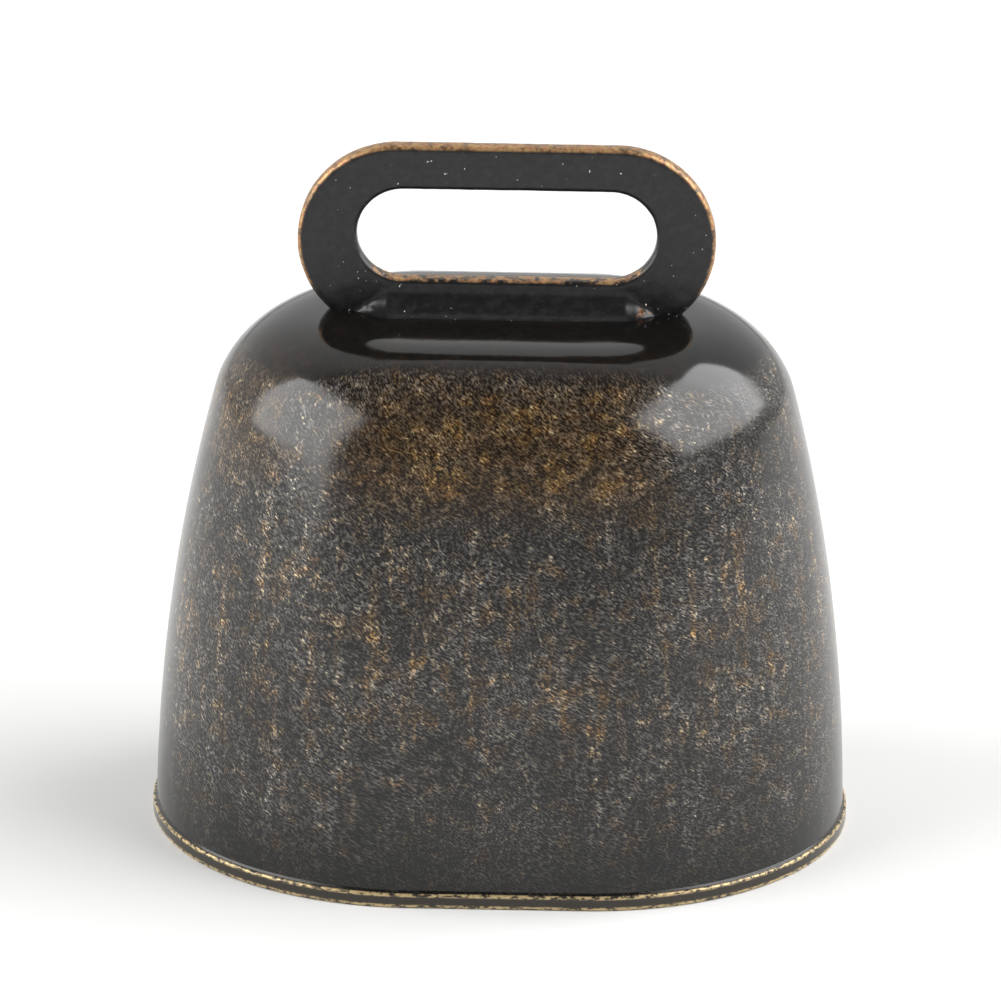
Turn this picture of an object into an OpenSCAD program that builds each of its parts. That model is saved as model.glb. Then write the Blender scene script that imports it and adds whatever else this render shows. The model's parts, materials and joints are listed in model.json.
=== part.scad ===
// Small pressed-steel cowbell with a strap loop welded on its crown and a
// ball clapper that hangs inside from a ring.
// Millimetres. The origin is the middle of the mouth, on the plane of the
// lip. +Z points up to the loop, +X runs along the loop and -Y is the front.

/* [Mouth] */
// Width over the lip, along X
mouth_w = 50; // [40:0.5:64]
// Depth over the lip, along Y
mouth_d = 38; // [30:0.5:46]
// How far the lip is turned outwards past the wall
lip_out = 0.25; // [0.2:0.05:0.8]
// Height of the lip's cut edge
lip_h = 1.05; // [0.7:0.05:1.6]
// Rounding of the lip's inner corner
lip_round = 0.6; // [0.2:0.05:0.8]

/* [Shell] */
// Height from the lip to the top of the crown
body_h = 38.3; // [32:0.1:50]
// Thickness of the sheet
sheet_t = 1.0; // [0.7:0.05:1.4]
// Lean of the wall at the mouth, in degrees from upright
draft = 0.3; // [0:0.1:3]
// Radius of the long, slightly bowed side wall
wall_r = 132; // [120:1:260]
// Radius of the shoulder
shoulder_r = 8.4; // [5:0.1:10]
// Radius of the shallow crown
crown_r = 260; // [50:1:400]

/* [Strap loop] */
// Outside width of the loop
loop_w = 29.6; // [24:0.1:36]
// Outside height of the loop's rounded outline
loop_h = 14.1; // [12:0.1:18]
// Thickness of the loop's plate
loop_t = 1.45; // [1:0.05:2.5]
// How deep the outline would reach below the top of the crown
loop_sink = 2.0; // [0.6:0.05:2.6]
// Width of the slot for the strap
slot_w = 21.2; // [18:0.1:24]
// Height of the slot for the strap
slot_h = 6.65; // [5:0.05:8]
// Height of the slot's middle above the outline's middle
slot_up = 0.47; // [0:0.01:0.8]
// Length of the weld along the loop's foot
foot_w = 19.2; // [14:0.1:21]
// Radius of the weld's hollow face
foot_r = 2.2; // [1:0.1:2.6]

/* [Clapper hanger] */
// Length of the pad welded under the crown
pad_l = 9; // [7:0.5:12]
// Width of the pad
pad_w = 6.4; // [5:0.1:9]
// Thickness of the pad
pad_t = 0.9; // [0.6:0.05:1.4]
// Thickness of the hanger's ear
ear_t = 1.2; // [0.8:0.05:1.6]
// Radius of the ear's round end
ear_r = 2.9; // [2.5:0.1:3.4]
// Radius of the ear's hole
ear_hole_r = 1.6; // [1.2:0.05:1.8]
// Drop from the pad's underside to the hole's middle
ear_drop = 4.6; // [3.5:0.1:6]

/* [Clapper] */
// Radius of the ring's wire
ring_wire_r = 0.6; // [0.4:0.05:0.8]
// Radius of the ring to the middle of its wire
ring_r = 2.6; // [2.4:0.1:3.4]
// Radius of the stem's wire
stem_r = 0.7; // [0.5:0.05:0.9]
// Radius of the stem's eye to the middle of its wire
eye_r = 1.6; // [1.4:0.05:1.9]
// Radius of the upset head under the ball
head_r = 1.5; // [1.2:0.1:1.9]
// Height of the upset head
head_h = 0.8; // [0.5:0.1:1.2]
// How far the head is let into the ball's underside
head_sink = 0.4; // [0.2:0.1:0.8]
// Radius of the swaged collar above the ball
collar_r = 1.25; // [1.1:0.05:1.6]
// Height of the collar
collar_h = 0.7; // [0.4:0.1:1.2]
// Radius of the striking ball
ball_r = 4.5; // [3.5:0.1:5.5]
// Height of the ball's lowest point above the mouth
ball_lift = 4.5; // [2:0.1:8]
// Play between the hanging pieces
play = 0.05; // [0.03:0.01:0.1]
// Clearance round the stem in the ball's bore
bore_play = 0.02; // [0.01:0.01:0.05]
// Clearance round the head in its recess
head_play = 0.1; // [0.05:0.05:0.2]

/* [Hidden] */
$fn = 128;
// Reach of the shapes that cut past a face
over = 1;

// The plan is two half rounds joined by a straight stretch: plan_c is half
// of that stretch, and every level of the shell uses the same one.
plan_c = (mouth_w - mouth_d) / 2;
lip_r = mouth_d / 2;
wall_base = lip_r - lip_out;

// The profile is three arcs that meet smoothly: wall, shoulder and crown
wall_c = [wall_base - wall_r * cos(draft), -wall_r * sin(draft)];
crown_c = [0, body_h - crown_r];
gap = crown_c - wall_c;
to_wall = wall_r - shoulder_r;
to_crown = crown_r - shoulder_r;
along = (pow(to_wall, 2) - pow(to_crown, 2) + gap * gap) / (2 * norm(gap));
aside = sqrt(pow(to_wall, 2) - pow(along, 2));
ahead = gap / norm(gap);
shoulder_c = wall_c + along * ahead + aside * [-ahead[1], ahead[0]];
crown_end = atan2(shoulder_c[0] - crown_c[0], shoulder_c[1] - crown_c[1]);
wall_end = atan2(shoulder_c[0] - wall_c[0], shoulder_c[1] - wall_c[1]);

// Strap loop
loop_z = body_h - loop_sink + loop_h / 2;
slot_z = loop_z + slot_up;

// Clapper hanger and clapper
pad_z = body_h - sheet_t - pad_t;
ear_z = pad_z - ear_drop;
// The ring's inside rests on the two edges of the ear's hole
ring_z = ear_z - ear_hole_r + play
    - sqrt(pow(ring_r - ring_wire_r, 2) - pow(ear_t / 2, 2));
eye_z = ring_z - ring_r - (eye_r - stem_r - ring_wire_r) + play;
ball_z = ball_lift + ball_r;
head_z = ball_lift + head_sink;
bore_r = stem_r + bore_play;

// A point at a distance and an angle from the upright, about a centre
function polar(c, r, a) = c + r * [sin(a), cos(a)];

// Half of the bell's section, drawn in by inset all round
module bell_profile(inset, low) {
    far = 2 * shoulder_r;
    difference() {
        intersection() {
            translate(wall_c) circle(r = wall_r - inset, $fn = 360);
            translate(crown_c) circle(r = crown_r - inset, $fn = 360);
            translate([0, low]) square([mouth_w, 2 * body_h]);
        }
        difference() {
            polygon([shoulder_c,
                     polar(shoulder_c, far, crown_end),
                     polar(shoulder_c, 2 * far, (crown_end + wall_end) / 2),
                     polar(shoulder_c, far, wall_end)]);
            translate(shoulder_c) circle(r = shoulder_r - inset);
        }
    }
}

// Turns a half section into a solid with the bell's long, round-ended plan
module long_round() {
    for (s = [0, 180])
        rotate([0, 0, s])
            translate([plan_c, 0, 0])
                rotate([0, 0, -90])
                    rotate_extrude(angle = 180) children();
    rotate([90, 0, 90])
        translate([0, 0, -plan_c])
            linear_extrude(2 * plan_c)
                for (m = [0, 1]) mirror([m, 0]) children();
}

module lip_profile() {
    inner = wall_base - sheet_t;
    difference() {
        union() {
            translate([inner, 0]) square([lip_r - inner, lip_h]);
            difference() {
                translate([inner, lip_h - over])
                    square([lip_r - inner, over + lip_out]);
                translate([lip_r, lip_h + lip_out]) circle(r = lip_out);
            }
        }
        translate([inner - over, -over])
            square([lip_round + over, lip_round + over]);
    }
    intersection() {
        translate([inner + lip_round, lip_round]) circle(r = lip_round);
        translate([inner, 0]) square(lip_round);
    }
}

module shell_profile() {
    difference() {
        union() {
            bell_profile(0, lip_h);
            lip_profile();
        }
        bell_profile(sheet_t, lip_round);
    }
}

module bell_shell() {
    color("#3b3833") long_round() shell_profile();
}

// The bell without its hollow, to trim what stands on it
module bell_solid(inset) {
    long_round() bell_profile(inset, lip_h);
}

// A flat stadium that stands upright in the XZ plane
module upright_stadium(w, h, t) {
    rotate([90, 0, 0])
        linear_extrude(t, center = true)
            union() {
                for (s = [-1, 1])
                    translate([s * (w - h) / 2, 0]) circle(d = h);
                square([w - h, h], center = true);
            }
}

module foot_weld() {
    side = loop_t / 2 + foot_r;
    base = body_h - loop_sink;
    difference() {
        translate([-foot_w / 2, -side, base])
            cube([foot_w, 2 * side, loop_sink + foot_r]);
        for (s = [-1, 1])
            translate([0, s * side, body_h + foot_r])
                rotate([0, 90, 0])
                    cylinder(r = foot_r, h = foot_w + over, center = true);
    }
}

module strap_loop() {
    color("#4a4845")
        difference() {
            union() {
                difference() {
                    translate([0, 0, loop_z])
                        upright_stadium(loop_w, loop_h, loop_t);
                    translate([0, 0, slot_z])
                        upright_stadium(slot_w, slot_h, loop_t + over);
                }
                foot_weld();
            }
            bell_solid(0);
        }
}

module clapper_hanger() {
    color("#8c8578")
        difference() {
            intersection() {
                union() {
                    translate([-pad_l / 2, -pad_w / 2, pad_z])
                        cube([pad_l, pad_w, 2 * pad_t]);
                    translate([-ear_t / 2, -ear_r, ear_z])
                        cube([ear_t, 2 * ear_r, ear_drop + pad_t / 2]);
                    translate([0, 0, ear_z])
                        rotate([0, 90, 0])
                            cylinder(r = ear_r, h = ear_t, center = true);
                }
                bell_solid(sheet_t);
            }
            translate([0, 0, ear_z])
                rotate([0, 90, 0])
                    cylinder(r = ear_hole_r, h = ear_t + over, center = true);
        }
}

// A closed ring of round wire around the Y axis
module wire_ring(r, wire_r) {
    rotate([90, 0, 0])
        rotate_extrude()
            translate([r, 0]) circle(r = wire_r, $fn = 48);
}

module clapper_ring() {
    color("#a9a49b")
        translate([0, 0, ring_z]) wire_ring(ring_r, ring_wire_r);
}

module clapper_stem() {
    color("#a9a49b")
        union() {
            translate([0, 0, eye_z])
                rotate([0, 0, 90]) wire_ring(eye_r, stem_r);
            translate([0, 0, head_z])
                cylinder(r = stem_r, h = eye_z - eye_r - head_z);
            translate([0, 0, head_z]) cylinder(r = head_r, h = head_h);
            translate([0, 0, ball_z + ball_r])
                cylinder(r = collar_r, h = collar_h);
        }
}

module clapper_ball() {
    color("#8f8b84")
        difference() {
            translate([0, 0, ball_z]) sphere(r = ball_r);
            translate([0, 0, ball_z])
                cylinder(r = bore_r, h = 2 * (ball_r + over), center = true);
            translate([0, 0, ball_lift - over])
                cylinder(r = head_r + head_play, h = over + head_sink + head_h);
        }
}

bell_shell();
strap_loop();
clapper_hanger();
clapper_ring();
clapper_stem();
clapper_ball();
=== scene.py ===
import json
import math

import bmesh
import bpy
from mathutils import Matrix, Vector

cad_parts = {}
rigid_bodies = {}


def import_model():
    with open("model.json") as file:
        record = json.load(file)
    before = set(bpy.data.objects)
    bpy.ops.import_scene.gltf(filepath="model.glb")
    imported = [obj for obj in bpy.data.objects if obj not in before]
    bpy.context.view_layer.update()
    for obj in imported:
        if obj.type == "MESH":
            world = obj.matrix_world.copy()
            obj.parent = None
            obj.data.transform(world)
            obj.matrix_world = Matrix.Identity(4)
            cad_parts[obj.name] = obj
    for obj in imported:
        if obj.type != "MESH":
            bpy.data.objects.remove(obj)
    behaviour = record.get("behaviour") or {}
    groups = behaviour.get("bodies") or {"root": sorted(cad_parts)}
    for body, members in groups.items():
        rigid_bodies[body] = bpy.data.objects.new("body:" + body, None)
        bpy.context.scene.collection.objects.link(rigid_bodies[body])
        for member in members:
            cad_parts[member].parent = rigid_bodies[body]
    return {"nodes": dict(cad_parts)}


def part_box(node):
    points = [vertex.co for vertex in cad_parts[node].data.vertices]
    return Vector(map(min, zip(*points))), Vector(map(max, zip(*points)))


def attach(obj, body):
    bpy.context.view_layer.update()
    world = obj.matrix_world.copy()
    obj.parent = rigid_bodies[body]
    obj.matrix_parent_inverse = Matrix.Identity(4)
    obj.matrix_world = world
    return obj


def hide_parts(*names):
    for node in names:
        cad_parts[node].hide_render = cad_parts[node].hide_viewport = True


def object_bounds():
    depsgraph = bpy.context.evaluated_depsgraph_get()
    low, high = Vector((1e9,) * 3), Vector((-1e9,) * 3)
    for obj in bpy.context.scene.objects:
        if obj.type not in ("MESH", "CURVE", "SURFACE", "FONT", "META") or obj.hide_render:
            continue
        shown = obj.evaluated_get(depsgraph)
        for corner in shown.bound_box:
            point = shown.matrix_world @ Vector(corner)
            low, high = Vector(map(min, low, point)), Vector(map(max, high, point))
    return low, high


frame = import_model()
cadLow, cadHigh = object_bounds()
mm = 0.001
print("frame loaded:", ", ".join(sorted(frame["nodes"])))


# pen: sections are drawn point by point in edit mode

def deselectAll():
    if bpy.context.mode != "OBJECT":
        bpy.ops.object.mode_set(mode="OBJECT")
    bpy.ops.object.select_all(action="DESELECT")


def openPiece(name):
    deselectAll()
    bpy.ops.mesh.primitive_plane_add(size=mm)
    piece = bpy.context.object
    piece.name = piece.data.name = name
    bpy.ops.object.mode_set(mode="EDIT")
    bpy.ops.mesh.select_all(action="SELECT")
    bpy.ops.mesh.delete(type="VERT")
    return piece


def closePiece():
    bpy.ops.object.mode_set(mode="OBJECT")
    piece = bpy.context.object
    print(piece.name, len(piece.data.polygons), "faces")
    return piece


def dropPen(point):
    # a small plane merged to one vertex is the pen
    bpy.ops.mesh.select_all(action="DESELECT")
    bpy.ops.mesh.primitive_plane_add(size=mm, location=point)
    bpy.ops.mesh.merge(type="CENTER")


def penTo(point, steps=1):
    bm = bmesh.from_edit_mesh(bpy.context.object.data)
    tip = next(v.co.copy() for v in bm.verts if v.select)
    stride = (Vector(point) - tip) / steps
    for _ in range(steps):
        bpy.ops.mesh.extrude_region_move(TRANSFORM_OT_translate={"value": stride})


def penArc(centre, axis, degrees, steps):
    # spin counts its angle the other way round
    bpy.ops.mesh.spin(steps=steps, angle=-math.radians(degrees), center=centre, axis=axis)


def pick(test, kind="verts"):
    # selects only what the test accepts, by its place
    bpy.ops.mesh.select_all(action="DESELECT")
    bm = bmesh.from_edit_mesh(bpy.context.object.data)
    for part in getattr(bm, kind):
        if kind == "verts":
            keep = test(part.co)
        elif kind == "edges":
            keep = all(test(v.co) for v in part.verts)
        else:
            keep = test(part.calc_center_median())
        if keep:
            part.select_set(True)
    bm.select_flush_mode()
    bmesh.update_edit_mesh(bpy.context.object.data)


def selectMode(kind):
    bpy.ops.mesh.select_mode(type=kind)


def tidyFaces(distance=1e-6):
    bpy.ops.mesh.select_all(action="SELECT")
    bpy.ops.mesh.remove_doubles(threshold=distance)
    bpy.ops.mesh.normals_make_consistent(inside=False)


def modify(piece, kind, **settings):
    modifier = piece.modifiers.new(kind.title(), kind)
    for key, value in settings.items():
        setattr(modifier, key, value)
    bpy.context.view_layer.objects.active = piece
    bpy.ops.object.modifier_apply(modifier=modifier.name)


def wobble(piece, name, size, height, depth=2):
    # uneven sheet: a soft cloud moves the surface a little along its normals
    cloud = bpy.data.textures.new(name, "CLOUDS")
    cloud.noise_scale = size
    cloud.noise_depth = depth
    modify(piece, "DISPLACE", texture=cloud, strength=height, mid_level=0.5,
           texture_coords="LOCAL")
    bpy.data.textures.remove(cloud)


def smooth(piece, degrees=None):
    deselectAll()
    piece.select_set(True)
    bpy.context.view_layer.objects.active = piece
    if degrees is None:
        bpy.ops.object.shade_smooth()
    else:
        bpy.ops.object.shade_smooth_by_angle(angle=math.radians(degrees))


def settle(piece, body, node, material):
    piece.data.materials.clear()
    piece.data.materials.append(material)
    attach(piece, body)
    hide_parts(node)


# shader sums

class Value:
    def __init__(self, paint, socket):
        self.paint = paint
        self.socket = socket

    def sum(self, operation, *others):
        return self.paint.add("ShaderNodeMath", {"operation": operation}, [self, *others])

    def __add__(self, other):
        return self.sum("ADD", other)

    def __sub__(self, other):
        return self.sum("SUBTRACT", other)

    def __mul__(self, other):
        return self.sum("MULTIPLY", other)

    def __pow__(self, other):
        return self.sum("POWER", other)

    def __rsub__(self, other):
        return self.paint.add("ShaderNodeMath", {"operation": "SUBTRACT"}, [other, self])

    def __neg__(self):
        return 0 - self

    def __abs__(self):
        return self.sum("ABSOLUTE")

    __radd__ = __add__

    def atLeast(self, other):
        return self.sum("MAXIMUM", other)

    def atMost(self, other):
        return self.sum("MINIMUM", other)

    def between(self, low, high):
        # 0 below low and 1 above high, with a soft step
        return self.paint.add("ShaderNodeMapRange", {"interpolation_type": "SMOOTHSTEP"},
                              {"Value": self, "From Min": low, "From Max": high})

    def band(self, low, high, soft):
        return self.between(low - soft, low + soft) * (1 - self.between(high - soft, high + soft))


class Paint:
    def __init__(self, name):
        self.material = bpy.data.materials.new(name)
        self.material.use_nodes = True
        self.tree = self.material.node_tree
        self.tree.nodes.clear()
        self.place = self.add("ShaderNodeTexCoord", out="Object")
        self.place = self.add("ShaderNodeVectorMath", {"operation": "SCALE"},
                              {0: self.place, "Scale": 1 / mm})
        self.x, self.y, self.z = (
            self.add("ShaderNodeSeparateXYZ", sockets=[self.place], out=k) for k in range(3))

    def add(self, kind, settings=None, sockets=(), out=0):
        node = self.tree.nodes.new(kind)
        for key, value in (settings or {}).items():
            setattr(node, key, value)
        items = sockets.items() if isinstance(sockets, dict) else enumerate(sockets)
        for key, value in items:
            if isinstance(value, Value):
                self.tree.links.new(value.socket, node.inputs[key])
            else:
                node.inputs[key].default_value = value
        return Value(self, node.outputs[out]) if node.outputs else node

    def vector(self, x, y, z):
        return self.add("ShaderNodeCombineXYZ", sockets=[x, y, z])

    def noise(self, at, scale, detail=3, rough=0.55, twist=0.0):
        return self.add("ShaderNodeTexNoise", {"normalize": True},
                        {"Vector": at, "Scale": scale, "Detail": detail,
                         "Roughness": rough, "Distortion": twist})

    def colour(self, factor, first, second):
        return self.add("ShaderNodeMix", {"data_type": "RGBA"},
                        {0: factor, 6: self.rgba(first), 7: self.rgba(second)}, out=2)

    def rgba(self, value):
        return value if isinstance(value, Value) else (*value, 1)

    def shade(self, sockets, bumps=()):
        # bumps are pairs of height and depth in mm
        normal = None
        for height, depth in bumps:
            links = {"Height": height, "Distance": depth * mm, "Strength": 1}
            if normal:
                links["Normal"] = normal
            normal = self.add("ShaderNodeBump", sockets=links)
        if normal:
            sockets["Normal"] = normal
        shader = self.add("ShaderNodeBsdfPrincipled", sockets=sockets)
        self.add("ShaderNodeOutputMaterial", sockets={"Surface": shader})
        return self.material


# lacquered shell finish

shellFinish = dict(
    black=(0.0044, 0.0040, 0.0037),
    brown=(0.030, 0.015, 0.006),
    brass=(0.50, 0.31, 0.11),
    paleBrass=(0.62, 0.50, 0.30),
    grey=(0.35, 0.33, 0.31),
    copper=(0.36, 0.18, 0.09),
    lipBrass=(0.50, 0.38, 0.20),
    planHalf=6.0,          # half of the straight stretch of the plan
    turn=17.0,             # mean radius of the round ends
    strokeTilt=33,         # lean of the brush strokes, in degrees below level
    wallRoughness=0.16,
    crownRoughness=0.085,
)


def shellPaint(f):
    p = Paint("bronzedShell")
    # distance round the wall, so that strokes keep their size at the round ends
    past = (abs(p.x) - f["planHalf"]).atLeast(0.0)
    turned = p.add("ShaderNodeMath", {"operation": "ARCTAN2"}, [past, abs(p.y).atLeast(0.01)])
    side = p.add("ShaderNodeMath", {"operation": "SIGN"}, [p.x])
    along = side * (abs(p.x).atMost(f["planHalf"]) + turned * f["turn"])
    depth = p.y * 0.35
    drift = (p.noise(p.place, 0.09, 1) - 0.5) * 3.0
    tilt = math.radians(f["strokeTilt"])
    run = along * math.cos(tilt) - p.z * math.sin(tilt) + drift
    across = along * math.sin(tilt) + p.z * math.cos(tilt) + drift * 0.7
    fine = p.noise(p.vector(run * 3.5, across * 8.4, depth * 4), 1.0, 2, 0.55, 0.15)
    bold = p.noise(p.vector(run * 2.6 + 40, across * 6.2, depth * 4), 1.0, 2, 0.55, 0.2)

    patch = p.noise(p.place, 0.20, 3, 0.6)
    cluster = p.noise(p.place, 0.70, 3, 0.6)
    streak = p.noise(p.vector(along * 1.15, p.z * 0.07, depth), 1.0, 3, 0.6)
    low = 1 - p.z.between(1.0, 8.0)
    shoulder = p.z.band(28.6, 36.4, 2.4)
    gilt = p.noise(p.place, 0.085, 2, 0.5)
    upper = shoulder * (gilt.between(0.52, 0.64) * 0.8
                        + (1 - abs(along + 0.5).between(7.5, 16.0))).atMost(1.0)
    middle = p.z.band(12.0, 25.5, 3.5)
    # the lacquer stays whole on the crown and over the round shoulders
    crown = (p.z + abs(p.x).between(8.5, 15.0) * 1.5).between(36.5, 37.6)
    clump = p.noise(p.place, 1.3, 3, 0.6)

    cover = (0.30 + patch.between(0.38, 0.62) * 0.30 + cluster.between(0.42, 0.62) * 0.20
             + streak.between(0.48, 0.66) * 0.30 * (1 - upper)
             + middle * 0.16 + shoulder * 0.04 + upper * 0.08)
    cover = cover * (0.5 + clump.between(0.40, 0.62) * 0.6) * (1 - low * 0.75) * (1 - crown * 0.97)
    soft = fine.between(0.40, 0.78) * cover * 0.64
    cut = 0.70 - cover * 0.16
    strokes = bold.between(cut, cut + 0.14) * cover
    marks = (soft + strokes * 0.62).atMost(1.0)

    warm = (cluster.between(0.48, 0.66) * 0.55 + upper * 0.55
            + streak.between(0.52, 0.66) * 0.45 * middle).atMost(1.0)
    dark = p.colour((upper * (0.25 + clump.between(0.42, 0.62) * 0.75)
                     + streak.between(0.50, 0.70) * 0.35 * middle
                     + cluster.between(0.50, 0.70) * 0.25 * middle).atMost(1.0),
                    f["black"], f["brown"])
    metal = p.colour(warm, f["grey"], f["brass"])
    metal = p.colour(bold.between(0.60, 0.72) * 0.7, metal, f["paleBrass"])
    metal = p.colour(cluster.between(0.60, 0.70) * 0.5, metal, f["copper"])

    # worn corners of the lip's cut edge
    outward = past * past + p.y * p.y
    lipInner, lipOuter = 18.80, 18.90
    lip = outward.between(lipInner ** 2, lipOuter ** 2) * p.z.band(-0.5, 1.25, 0.05)
    corner = (p.z.band(-0.4, 0.24, 0.08) + p.z.band(0.84, 1.22, 0.07)).atMost(1.0)
    nibble = p.noise(p.vector(along * 2.4, p.z * 5.0, depth), 1.0, 3, 0.6)
    lipWear = lip * corner * nibble.between(0.38, 0.58)
    marks = marks * (1 - lip * 0.75)
    base = p.colour(lip * 0.6, dark, (0.040, 0.034, 0.026))
    base = p.colour(marks, base, metal)
    base = p.colour(lipWear, base, f["lipBrass"])
    worn = (marks + lipWear).atMost(1.0)

    skin = p.noise(p.place, 0.8, 2, 0.5)
    gloss = f["wallRoughness"] - crown * (f["wallRoughness"] - f["crownRoughness"])
    return p.shade({
        "Base Color": base,
        "Metallic": worn * 0.5,
        "Roughness": gloss + worn * 0.20 + skin * 0.03,
        "Specular IOR Level": 0.42,
    }, [(worn, 0.008), (skin, 0.006)])


loopFinish = dict(
    charcoal=(0.0060, 0.0060, 0.0064),
    dust=(0.014, 0.0135, 0.013),
    brass=(0.42, 0.27, 0.12),
    copper=(0.34, 0.16, 0.08),
    fleck=(0.62, 0.60, 0.56),
    outlineZ=43.35, outlineHalf=7.75, outlineR=7.05,
    slotZ=43.82, slotHalf=7.275, slotR=3.325,
    roughness=0.27,
)


def loopPaint(f):
    p = Paint("bronzedLoop")

    def fromOutline(z, half, radius):
        past = (abs(p.x) - half).atLeast(0.0)
        rise = p.z - z
        return (past * past + rise * rise) ** 0.5 - radius

    outside = fromOutline(f["outlineZ"], f["outlineHalf"], f["outlineR"])
    inSlot = -fromOutline(f["slotZ"], f["slotHalf"], f["slotR"])
    grain = p.noise(p.place, 1.6, 4, 0.65)
    speck = p.noise(p.place, 3.4, 2, 0.5)
    # the sheared edge is worn through, most of all at its corners
    free = p.z.between(39.2, 40.8)
    edge = outside.between(-0.34, -0.12) * free
    wear = edge * (grain.between(0.36, 0.56) * 0.75 + 0.25)
    slotLow = (f["slotZ"] - 2.2 - p.z).between(0.0, 0.6)
    slotWear = inSlot.between(-0.22, -0.05) * slotLow * grain.between(0.40, 0.60)
    flecks = speck.between(0.735, 0.77)
    # burrs of copper where the weld ends
    burr = p.x.band(9.3, 10.3, 0.2) * (1 - p.z.between(38.5, 38.8)) * speck.between(0.50, 0.62)
    worn = (wear + slotWear + burr * 0.5).atMost(1.0)
    metal = p.colour(speck.between(0.40, 0.62), f["brass"], f["copper"])
    base = p.colour(grain.between(0.40, 0.70), f["charcoal"], f["dust"])
    base = p.colour(worn, base, metal)
    base = p.colour(flecks, base, f["fleck"])
    return p.shade({
        "Base Color": base,
        "Metallic": worn * 0.7,
        "Roughness": f["roughness"] + worn * 0.14 + grain * 0.06,
        "Specular IOR Level": 0.42,
    }, [(grain, 0.010), (speck, 0.006)])


hangerFinish = dict(
    steel=(0.20, 0.185, 0.165),
    black=(0.018, 0.016, 0.014),
    rust=(0.16, 0.065, 0.025),
)


def hangerPaint(f):
    p = Paint("bronzedHanger")
    grain = p.noise(p.place, 1.5, 4, 0.6)
    patch = p.noise(p.place, 0.5, 3, 0.6)
    bare = (1 - p.z.between(30.4, 31.6)) * 0.6 + patch.between(0.52, 0.66) * 0.4
    base = p.colour(bare, f["black"], f["steel"])
    base = p.colour(grain.between(0.58, 0.70) * 0.5, base, f["rust"])
    return p.shade({
        "Base Color": base,
        "Metallic": bare * 0.8,
        "Roughness": 0.42 + grain * 0.2,
    }, [(grain, 0.020)])


wireFinish = dict(
    steel=(0.44, 0.42, 0.39),
    tarnish=(0.10, 0.085, 0.065),
    rust=(0.20, 0.085, 0.035),
)


def wirePaint(f, name, rubbedZ):
    # drawn wire, rubbed bright where it bears on its neighbour
    p = Paint(name)
    grain = p.noise(p.place, 2.2, 4, 0.6)
    patch = p.noise(p.place, 0.6, 3, 0.6)
    drawn = p.noise(p.vector(p.x * 8, p.y * 8, p.z * 0.8), 1.0, 2, 0.5)
    rubbed = p.z.band(rubbedZ - 1.0, rubbedZ + 1.0, 0.4)
    dull = (patch.between(0.42, 0.62) * (1 - rubbed * 0.8)).atMost(1.0)
    base = p.colour(dull, f["steel"], f["tarnish"])
    base = p.colour(grain.between(0.62, 0.74) * 0.6, base, f["rust"])
    return p.shade({
        "Base Color": base,
        "Metallic": 1.0,
        "Roughness": 0.24 + dull * 0.22 + drawn * 0.08,
    }, [(drawn, 0.010), (grain, 0.008)])


ballFinish = dict(
    steel=(0.47, 0.45, 0.42),
    tarnish=(0.12, 0.10, 0.08),
    rust=(0.22, 0.09, 0.035),
)


def ballPaint(f):
    # turned steel: fine rings round the bore, with rubbed dull patches
    p = Paint("strikingBall")
    grain = p.noise(p.place, 1.8, 4, 0.6)
    patch = p.noise(p.place, 0.45, 3, 0.6)
    rings = p.noise(p.vector(0.0, 0.0, p.z * 14), 1.0, 2, 0.6)
    pits = p.noise(p.place, 3.2, 2, 0.5)
    dull = patch.between(0.44, 0.62)
    pit = pits.between(0.66, 0.74)
    base = p.colour(dull * 0.8, f["steel"], f["tarnish"])
    base = p.colour(pit * 0.8, base, f["rust"])
    return p.shade({
        "Base Color": base,
        "Metallic": 1.0 - pit * 0.6,
        "Roughness": 0.20 + dull * 0.2 + grain * 0.1,
    }, [(rings, 0.012), (-pit, 0.03), (grain, 0.008)])


# bell shell

shell = dict(
    sheet=1.0 * mm,
    lipOut=0.25 * mm, lipHigh=1.05 * mm, lipRound=0.6 * mm,
    lipCorner=0.13 * mm,
    draft=0.3, wallRadius=132 * mm, shoulderRadius=8.4 * mm, crownRadius=260 * mm,
    lastStep=0.05,
    dishDeep=0.2 * mm, dishReach=9.5 * mm,
    roundSteps=84, straightSteps=6,
    wobbleSize=9 * mm, wobbleHigh=0.07 * mm,
)


def arcPoint(centre, radius, degrees):
    # a section is drawn with its radius towards -Y
    a = math.radians(degrees)
    return centre[0] + radius * math.sin(a), centre[1] + radius * math.cos(a)


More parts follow.
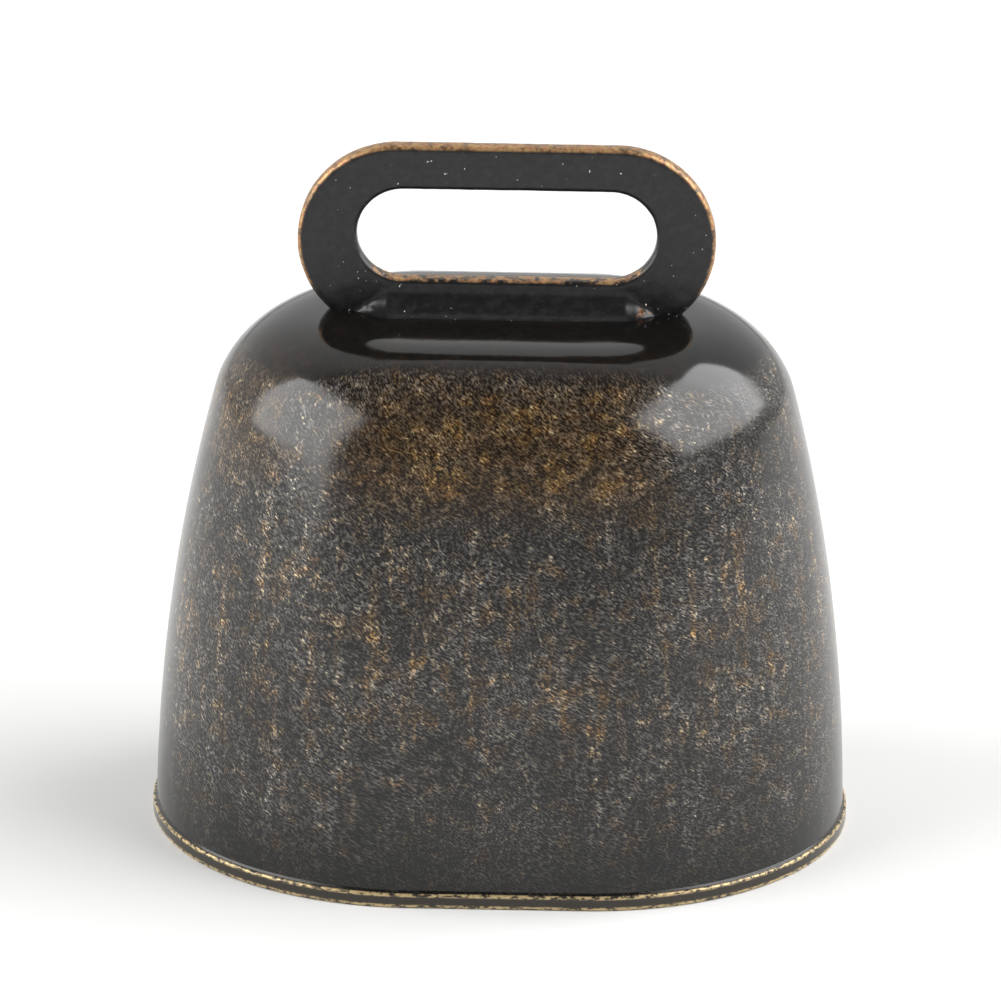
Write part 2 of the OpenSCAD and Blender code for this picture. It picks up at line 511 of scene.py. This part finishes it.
def buildShell(s):
    low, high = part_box("bell_shell")
    lipRadius = high.y
    plan = round((high.x - high.y) / mm, 1) * mm
    wallFoot = lipRadius - s["lipOut"]
    draft = math.radians(s["draft"])
    wall = Vector((wallFoot - s["wallRadius"] * math.cos(draft),
                   -s["wallRadius"] * math.sin(draft)))
    crown = Vector((0, high.z - s["crownRadius"]))
    # the shoulder's centre is where both offset arcs meet
    gap = crown - wall
    toWall = s["wallRadius"] - s["shoulderRadius"]
    toCrown = s["crownRadius"] - s["shoulderRadius"]
    along = (toWall ** 2 - toCrown ** 2 + gap.length_squared) / (2 * gap.length)
    ahead = gap.normalized()
    shoulder = (wall + along * ahead
                + math.sqrt(toWall ** 2 - along ** 2) * Vector((-ahead.y, ahead.x)))
    crownEnd = math.degrees(math.atan2(shoulder.x - crown.x, shoulder.y - crown.y))
    wallEnd = math.degrees(math.atan2(shoulder.x - wall.x, shoulder.y - wall.y))
    sheet, corner = s["sheet"], s["lipCorner"]
    cove = s["lipOut"] - corner
    coveZ = s["lipHigh"] + cove
    footOut = math.degrees(math.acos((coveZ - wall.y) / s["wallRadius"]))
    inner = s["wallRadius"] - sheet
    footIn = math.degrees(math.acos((s["lipRound"] - wall.y) / inner))

    def at(radius, z):
        return Vector((plan, -radius, z))

    piece = openPiece("bellShell")
    dropPen(at(0, high.z))
    penArc(at(*crown), (1, 0, 0), crownEnd, 9)
    penArc(at(*shoulder), (1, 0, 0), wallEnd - crownEnd, 24)
    # a short last step keeps the cove's shading off the wall
    penArc(at(*wall), (1, 0, 0), footOut - wallEnd - s["lastStep"], 34)
    penArc(at(*wall), (1, 0, 0), s["lastStep"], 1)
    penTo(at(wallFoot, coveZ))
    penArc(at(wallFoot + cove, coveZ), (1, 0, 0), -90, 5)
    penArc(at(lipRadius - corner, s["lipHigh"] - corner), (1, 0, 0), 90, 4)
    penTo(at(lipRadius, corner), 3)
    penArc(at(lipRadius - corner, corner), (1, 0, 0), 90, 4)
    innerFoot = wallFoot - sheet
    penTo(at(innerFoot + s["lipRound"], 0), 2)
    penArc(at(innerFoot + s["lipRound"], s["lipRound"]), (1, 0, 0), 90, 6)
    radius, z = arcPoint(wall, inner, footIn)
    penTo(at(radius, z))
    penArc(at(*wall), (1, 0, 0), wallEnd - footIn, 30)
    penArc(at(*shoulder), (1, 0, 0), crownEnd - wallEnd, 16)
    penArc(at(*crown), (1, 0, 0), -crownEnd, 7)

    bpy.ops.mesh.select_all(action="SELECT")
    penArc((plan, 0, 0), (0, 0, 1), 180, s["roundSteps"])
    bpy.ops.mesh.select_all(action="SELECT")
    bpy.ops.mesh.remove_doubles(threshold=1e-7)
    selectMode("EDGE")
    pick(lambda co: abs(co.x - plan) < 1e-6, "edges")
    for _ in range(s["straightSteps"]):
        bpy.ops.mesh.extrude_region_move(
            TRANSFORM_OT_translate={"value": (-plan / s["straightSteps"], 0, 0)})
    selectMode("VERT")
    closePiece()
    modify(piece, "MIRROR", use_axis=(True, False, False), merge_threshold=1e-6)
    bpy.ops.object.mode_set(mode="EDIT")
    tidyFaces()
    # the crown is drawn down a little along the loop
    pick(lambda co: co.z > high.z - 1.5 * sheet and abs(co.y) < 0.3 * mm and abs(co.x) < 12 * mm)
    bpy.ops.transform.translate(
        value=(0, 0, -s["dishDeep"]), use_proportional_edit=True,
        proportional_edit_falloff="SPHERE", proportional_size=s["dishReach"])
    bpy.ops.object.mode_set(mode="OBJECT")
    wobble(piece, "sheetWobble", s["wobbleSize"], s["wobbleHigh"])
    smooth(piece)
    return piece


bellShell = buildShell(shell)
settle(bellShell, "bell", "bell_shell", shellPaint(shellFinish))


# strap loop

loop = dict(
    thick=1.45 * mm, outlineHigh=14.1 * mm,
    slotWide=21.2 * mm, slotHigh=6.65 * mm, slotUp=0.47 * mm,
    rounding=0.36 * mm, cutBelow=0.42 * mm,
    weldHalf=9.3 * mm, weldRadius=1.9 * mm, weldSink=0.25 * mm,
    voxel=0.13 * mm, softening=5,
    burrs=((-9.45, -0.95, 0.02, 0.24), (-9.85, -0.80, 0.00, 0.18), (9.75, -0.92, -0.04, 0.27),
           (10.1, -0.78, -0.08, 0.18), (9.5, 0.95, 0.02, 0.24), (-9.7, 0.90, 0.00, 0.22)),
)


def drawStadium(middle, half, radius, steps=44, straights=14):
    x, y, z = middle
    dropPen((x + half, y, z + radius))
    penArc((x + half, y, z), (0, 1, 0), 180, steps)
    penTo((x - half, y, z - radius), straights)
    penArc((x - half, y, z), (0, 1, 0), 180, steps)
    penTo((x + half, y, z + radius), straights)


def buildLoop(s):
    low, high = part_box("strap_loop")
    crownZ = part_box("bell_shell")[1].z
    radius = s["outlineHigh"] / 2
    middle = Vector((0, 0, high.z - radius))
    piece = openPiece("strapLoop")
    drawStadium(middle, high.x - radius, radius)
    drawStadium(middle + Vector((0, 0, s["slotUp"])),
                (s["slotWide"] - s["slotHigh"]) / 2, s["slotHigh"] / 2)
    bpy.ops.mesh.select_all(action="SELECT")
    bpy.ops.mesh.remove_doubles(threshold=1e-6)
    selectMode("EDGE")
    bpy.ops.mesh.select_all(action="SELECT")
    bpy.ops.mesh.bridge_edge_loops()
    selectMode("VERT")
    closePiece()
    modify(piece, "SOLIDIFY", thickness=s["thick"], offset=0, use_even_offset=True)
    modify(piece, "BEVEL", width=s["rounding"], segments=4, limit_method="ANGLE",
           angle_limit=math.radians(50))
    # the foot is cut level inside the crown's sheet, then the weld is laid along it
    floorZ = crownZ - s["cutBelow"]
    bpy.ops.object.mode_set(mode="EDIT")
    bpy.ops.mesh.select_all(action="SELECT")
    bpy.ops.mesh.bisect(plane_co=(0, 0, floorZ), plane_no=(0, 0, 1),
                        clear_inner=True, use_fill=True)
    side, weld = s["thick"] / 2, s["weldRadius"]
    half, sink = s["weldHalf"], s["weldSink"]
    toeZ = crownZ - sink

    def weldAt(y, z):
        return Vector((-half + 0.9 * mm, y, z))

    dropPen(weldAt(-side + 0.1 * mm, toeZ + weld))
    penTo(weldAt(-side, toeZ + weld))
    penArc(weldAt(-side - weld, toeZ + weld), (1, 0, 0), -90, 8)
    penTo(weldAt(-side - weld, floorZ))
    penTo(weldAt(side + weld, floorZ), 4)
    penTo(weldAt(side + weld, toeZ))
    penArc(weldAt(side + weld, toeZ + weld), (1, 0, 0), -90, 8)
    penTo(weldAt(side - 0.1 * mm, toeZ + weld))
    penTo(weldAt(-side + 0.1 * mm, toeZ + weld))
    bpy.ops.mesh.select_linked()
    bpy.ops.mesh.remove_doubles(threshold=1e-6)
    bpy.ops.mesh.edge_face_add()
    bpy.ops.mesh.extrude_region_move(
        TRANSFORM_OT_translate={"value": (2 * half - 1.8 * mm, 0, 0)})

    def taperEnd(direction):
        for stride, share in ((0.9, 0.84), (0.8, 0.70), (0.6, 0.50)):
            bpy.ops.mesh.extrude_region_move(
                TRANSFORM_OT_translate={"value": (direction * stride * mm, 0, 0)})
            bm = bmesh.from_edit_mesh(bpy.context.object.data)
            x = next(v.co.x for v in bm.verts if v.select)
            bpy.ops.transform.resize(value=(1, share, share), center_override=(x, 0, floorZ))

    taperEnd(1)
    selectMode("FACE")
    pick(lambda co: abs(co.x + half - 0.9 * mm) < 1e-6 and co.z < toeZ + weld, "faces")
    taperEnd(-1)
    selectMode("VERT")
    for x, y, up, size in s["burrs"]:
        bpy.ops.mesh.select_all(action="DESELECT")
        bpy.ops.mesh.primitive_ico_sphere_add(
            subdivisions=2, radius=size * mm,
            location=(x * mm, y * mm, crownZ + up * mm))
    bpy.ops.mesh.select_all(action="SELECT")
    bpy.ops.mesh.normals_make_consistent(inside=False)
    closePiece()
    modify(piece, "REMESH", mode="VOXEL", voxel_size=s["voxel"])
    modify(piece, "SMOOTH", factor=0.5, iterations=s["softening"])
    wobble(piece, "weldWobble", 1.6 * mm, 0.05 * mm)
    smooth(piece)
    return piece


strapLoop = buildLoop(loop)
settle(strapLoop, "bell", "strap_loop", loopPaint(loopFinish))


# clapper hanger: pad, ear with its hole, and the weld bead round the pad

hanger = dict(
    padThick=0.9 * mm, earThick=1.2 * mm, earRadius=2.9 * mm, holeRadius=1.6 * mm,
    edge=0.18 * mm, holeEdge=0.22 * mm, intoCrown=0.12 * mm, voxel=0.13 * mm,
)


def buildHanger(s):
    low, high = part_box("clapper_hanger")
    holeZ = low.z + s["earRadius"]
    padZ = high.z - s["padThick"]
    piece = openPiece("clapperHanger")
    # ear: a round end with straight sides up into the pad, bridged to its hole
    r, hole = s["earRadius"], s["holeRadius"]
    dropPen((0, r, padZ + s["padThick"] / 2))
    penTo((0, r, holeZ), 6)
    penArc((0, 0, holeZ), (1, 0, 0), -180, 32)
    penTo((0, -r, padZ + s["padThick"] / 2), 6)
    penTo((0, r, padZ + s["padThick"] / 2), 8)
    dropPen((0, hole, holeZ))
    penArc((0, 0, holeZ), (1, 0, 0), -360, 52)
    bpy.ops.mesh.select_all(action="SELECT")
    bpy.ops.mesh.remove_doubles(threshold=1e-6)
    selectMode("EDGE")
    bpy.ops.mesh.select_all(action="SELECT")
    bpy.ops.mesh.bridge_edge_loops()
    selectMode("VERT")
    closePiece()
    modify(piece, "SOLIDIFY", thickness=s["earThick"], offset=0, use_even_offset=True)
    modify(piece, "BEVEL", width=s["edge"], segments=3, limit_method="ANGLE",
           angle_limit=math.radians(50))
    bpy.ops.object.mode_set(mode="EDIT")
    bpy.ops.mesh.select_all(action="DESELECT")
    # pad: a cube pressed to size, its lower edges rounded
    top = high.z + s["intoCrown"]
    bpy.ops.mesh.primitive_cube_add(size=1, location=(0, 0, (padZ + top) / 2))
    bpy.ops.transform.resize(value=(high.x - low.x, high.y - low.y, top - padZ),
                             center_override=(0, 0, (padZ + top) / 2))
    bpy.ops.mesh.bevel(offset=0.3 * mm, segments=3, affect="EDGES")
    bpy.ops.mesh.select_all(action="DESELECT")
    # weld beads on both sides of the ear
    for side in (-1, 1):
        bpy.ops.mesh.primitive_uv_sphere_add(
            segments=20, ring_count=12, radius=0.5 * mm,
            location=(side * s["earThick"] / 2, 0, padZ))
        bpy.ops.transform.resize(value=(1.1, 5.4, 0.9),
                                 center_override=(side * s["earThick"] / 2, 0, padZ))
        bpy.ops.mesh.select_all(action="DESELECT")
    bpy.ops.mesh.select_all(action="SELECT")
    bpy.ops.mesh.normals_make_consistent(inside=False)
    closePiece()
    modify(piece, "REMESH", mode="VOXEL", voxel_size=s["voxel"])
    modify(piece, "SMOOTH", factor=0.5, iterations=3)
    smooth(piece)
    return piece


clapperHanger = buildHanger(hanger)
settle(clapperHanger, "bell", "clapper_hanger", hangerPaint(hangerFinish))


# clapper ring: bent wire, its ends butted

ring = dict(wireRadius=0.6 * mm, sides=20, steps=88, gapDegrees=5.0, endRound=0.12 * mm)


def spinWire(centre, bend, wire, axis, start, sweep, sides, steps):
    # a circle of wire carried round the centre, with both ends filled
    across = Vector(axis).cross(start)
    at = Vector(centre) + Vector(start) * bend
    bpy.ops.mesh.select_all(action="DESELECT")
    bpy.ops.mesh.primitive_circle_add(
        vertices=sides, radius=wire, fill_type="NGON", location=at,
        rotation=across.to_track_quat("Z", "Y").to_euler())
    bpy.ops.mesh.inset(thickness=wire * 0.2, depth=0)
    bpy.ops.mesh.select_more()
    penArc(centre, axis, sweep, steps)


def buildRing(s):
    low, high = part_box("clapper_ring")
    bend = high.x - s["wireRadius"]
    centre = (low + high) / 2
    piece = openPiece("clapperRing")
    # the butt joint sits at the side, away from both bearings
    half = math.radians(s["gapDegrees"] / 2)
    start = Vector((math.cos(half), 0, -math.sin(half)))
    spinWire(centre, bend, s["wireRadius"], (0, 1, 0), start,
             360 - s["gapDegrees"], s["sides"], s["steps"])
    tidyFaces()
    closePiece()
    modify(piece, "BEVEL", width=s["endRound"], segments=2, limit_method="ANGLE",
           angle_limit=math.radians(50))
    smooth(piece, 45)
    return piece


clapperRing = buildRing(ring)
settle(clapperRing, "ring", "clapper_ring",
       wirePaint(wireFinish, "ringWire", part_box("clapper_ring")[1].z / mm - 0.6))


# clapper stem: wire bent to an eye, with its collar and upset head

stem = dict(
    wireRadius=0.7 * mm, collarRadius=1.25 * mm, collarHigh=0.7 * mm,
    headRadius=1.5 * mm, headHigh=0.8 * mm, round=0.16 * mm,
    eyeSweep=338, voxel=0.10 * mm,
)


def lathe(profile, steps):
    # profile is pairs of radius and height, turned round the Z axis
    dropPen((0, -profile[0][0], profile[0][1]))
    for radius, z in profile[1:]:
        penTo((0, -radius, z))
    bpy.ops.mesh.select_linked()
    penArc((0, 0, 0), (0, 0, 1), 360, steps)


def buildStem(s):
    low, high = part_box("clapper_stem")
    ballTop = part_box("clapper_ball")[1].z
    eyeOuter = high.y
    eyeRadius = eyeOuter - s["wireRadius"]
    eyeZ = high.z - eyeOuter
    wire, r = s["wireRadius"], s["round"]
    piece = openPiece("clapperStem")
    # the eye starts in line with the stem, and its end comes round to touch it
    spinWire((0, 0, eyeZ), eyeRadius, wire, (1, 0, 0), Vector((0, 0, -1)),
             s["eyeSweep"], 20, 72)
    collarTop = ballTop + s["collarHigh"]
    lathe([(0, low.z),
           (s["headRadius"] - r, low.z), (s["headRadius"], low.z + r),
           (s["headRadius"], low.z + s["headHigh"] - 0.02 * mm),
           (wire, low.z + s["headHigh"]), (wire, ballTop - 0.15 * mm),
           (s["collarRadius"] - r, ballTop + 0.02 * mm),
           (s["collarRadius"], ballTop + r),
           (s["collarRadius"], collarTop - r), (s["collarRadius"] - r, collarTop),
           (wire + 0.1 * mm, collarTop + 0.08 * mm),
           (wire, collarTop + 0.35 * mm), (wire, eyeZ - eyeRadius + 0.1 * mm),
           (0, eyeZ - eyeRadius + 0.1 * mm)], 28)
    tidyFaces()
    closePiece()
    modify(piece, "REMESH", mode="VOXEL", voxel_size=s["voxel"])
    modify(piece, "SMOOTH", factor=0.5, iterations=3)
    smooth(piece)
    return piece


clapperStem = buildStem(stem)
settle(clapperStem, "clapper", "clapper_stem",
       wirePaint(wireFinish, "stemWire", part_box("clapper_stem")[1].z / mm - 0.7))


# striking ball: turned, drilled, and marked by its blows

ball = dict(
    boreRadius=0.72 * mm, boreEdge=0.35 * mm,
    recessRadius=1.6 * mm, recessDeep=1.2 * mm, recessEdge=0.25 * mm,
    arcSteps=44, turnSteps=96, dentSize=2.2 * mm, dentHigh=0.10 * mm,
)


def buildBall(s):
    low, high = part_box("clapper_ball")
    radius = high.x
    middle = high.z - math.sqrt(radius ** 2 - s["boreRadius"] ** 2)
    lift = middle - radius
    top = math.asin((s["boreRadius"] + s["boreEdge"]) / radius)
    bottom = math.asin((s["recessRadius"] + s["recessEdge"]) / radius)
    profile = [(s["boreRadius"],
                middle + math.sqrt(radius ** 2 - s["boreRadius"] ** 2) - s["boreEdge"])]
    for k in range(s["arcSteps"] + 1):
        a = top + (math.pi - bottom - top) * k / s["arcSteps"]
        profile.append((radius * math.sin(a), middle + radius * math.cos(a)))
    recessTop = lift + s["recessDeep"]
    rim = middle - radius * math.cos(bottom)
    profile += [(s["recessRadius"], rim + 0.12 * mm), (s["recessRadius"], recessTop),
                (s["boreRadius"], recessTop), profile[0]]
    piece = openPiece("clapperBall")
    lathe(profile, s["turnSteps"])
    tidyFaces()
    closePiece()
    wobble(piece, "blowMarks", s["dentSize"], s["dentHigh"], 1)
    smooth(piece, 40)
    return piece


clapperBall = buildBall(ball)
settle(clapperBall, "clapper", "clapper_ball", ballPaint(ballFinish))


# floor, light and camera

studio = dict(
    floorDrop=0.00003, lampAim=(0, 0, 0.025),
    floorColour=(0.665, 0.665, 0.66), floorSize=6.0,
    sky=0.80, duskFront=0.05,
    leftBox=dict(azimuth=-76, elevation=27, distance=0.62, size=(0.70, 0.56), radiance=5.2),
    rightBox=dict(azimuth=86, elevation=36, distance=0.62, size=(0.90, 0.58), radiance=5.5),
)


class SkyPaint(Paint):
    def __init__(self, world):
        world.use_nodes = True
        self.tree = world.node_tree
        self.tree.nodes.clear()


def floorPaint(colour):
    p = Paint("studioFloor")
    grain = p.noise(p.place, 0.004, 2, 0.5)
    base = p.colour(grain, colour, tuple(c * 0.985 for c in colour))
    shader = p.add("ShaderNodeBsdfPrincipled", sockets={
        "Base Color": base, "Roughness": 0.7, "Specular IOR Level": 0.2})
    # the floor is open from below and inside the lip, so that the mouth can be
    # looked into and light gets in
    past = (abs(p.x) - shellFinish["planHalf"]).atLeast(0.0)
    clearInner, clearOuter = 17.9, 18.1
    inLip = 1 - (past * past + p.y * p.y).between(clearInner ** 2, clearOuter ** 2)
    under = (p.add("ShaderNodeNewGeometry", out="Backfacing") + inLip).atMost(1.0)
    clear = p.add("ShaderNodeBsdfTransparent")
    both = p.add("ShaderNodeMixShader", sockets=[under, shader, clear])
    p.add("ShaderNodeOutputMaterial", sockets={"Surface": both})
    return p.material


def buildStudio(s):
    deselectAll()
    bpy.ops.mesh.primitive_plane_add(
        size=s["floorSize"], location=(0, 0, cadLow.z - s["floorDrop"]))
    floor = bpy.context.object
    floor.name = floor.data.name = "studioFloor"
    bpy.ops.object.mode_set(mode="EDIT")
    bpy.ops.mesh.subdivide(number_cuts=3)
    bpy.ops.object.mode_set(mode="OBJECT")
    bpy.ops.object.transform_apply(location=True, rotation=False, scale=False)
    floor.data.materials.append(floorPaint(s["floorColour"]))

    world = bpy.data.worlds.new("studioWorld")
    bpy.context.scene.world = world
    p = SkyPaint(world)
    way = p.add("ShaderNodeTexCoord", out="Generated")
    across, behind, up = (p.add("ShaderNodeSeparateXYZ", sockets=[way], out=k) for k in range(3))
    # bright all round the horizon and behind, dim above the front
    bright = ((1 - up.between(0.03, 0.20)) + behind.between(-0.10, 0.55)
              + abs(across).between(0.45, 0.95) * 0.22)
    strength = s["duskFront"] + bright.atMost(1.0) * (s["sky"] - s["duskFront"])
    light = p.add("ShaderNodeBackground", sockets={"Color": (1, 1, 1, 1), "Strength": strength})
    p.add("ShaderNodeOutputWorld", sockets={"Surface": light})

    middle = Vector(s["lampAim"])
    for name in ("leftBox", "rightBox"):
        box = s[name]
        a, e = math.radians(box["azimuth"]), math.radians(box["elevation"])
        way = Vector((math.sin(a) * math.cos(e), -math.cos(a) * math.cos(e), math.sin(e)))
        lamp = bpy.data.lights.new(name, "AREA")
        lamp.shape = "RECTANGLE"
        lamp.size, lamp.size_y = box["size"]
        lamp.energy = box["radiance"] * math.pi * lamp.size * lamp.size_y
        holder = bpy.data.objects.new(name, lamp)
        bpy.context.scene.collection.objects.link(holder)
        holder.location = middle + way * box["distance"]
        holder.rotation_euler = way.to_track_quat("Z", "Y").to_euler()
    bpy.context.scene.view_settings.view_transform = "Standard"


shot = dict(
    distance=0.7008, elevation=20.52, yaw=-0.741, roll=0.717,
    target=(-0.00022, 0.0, 0.02366), lens=353.1, sensorWidth=36,
)


def placeCamera(s):
    data = bpy.data.cameras.new("camera")
    data.lens = s["lens"]
    data.sensor_width = s["sensorWidth"]
    data.clip_start, data.clip_end = 0.01, 50
    camera = bpy.data.objects.new("camera", data)
    bpy.context.scene.collection.objects.link(camera)
    yaw, tilt = math.radians(s["yaw"]), math.radians(s["elevation"])
    ahead = Vector((math.sin(yaw) * math.cos(tilt), math.cos(yaw) * math.cos(tilt),
                    -math.sin(tilt)))
    camera.location = Vector(s["target"]) - ahead * s["distance"]
    turn = ahead.to_track_quat("-Z", "Y").to_matrix()
    roll = math.radians(s["roll"])
    camera.rotation_euler = (turn @ Matrix.Rotation(roll, 3, "Z")).to_euler()
    bpy.context.scene.camera = camera


buildStudio(studio)
placeCamera(shot)
print("studio and camera placed")
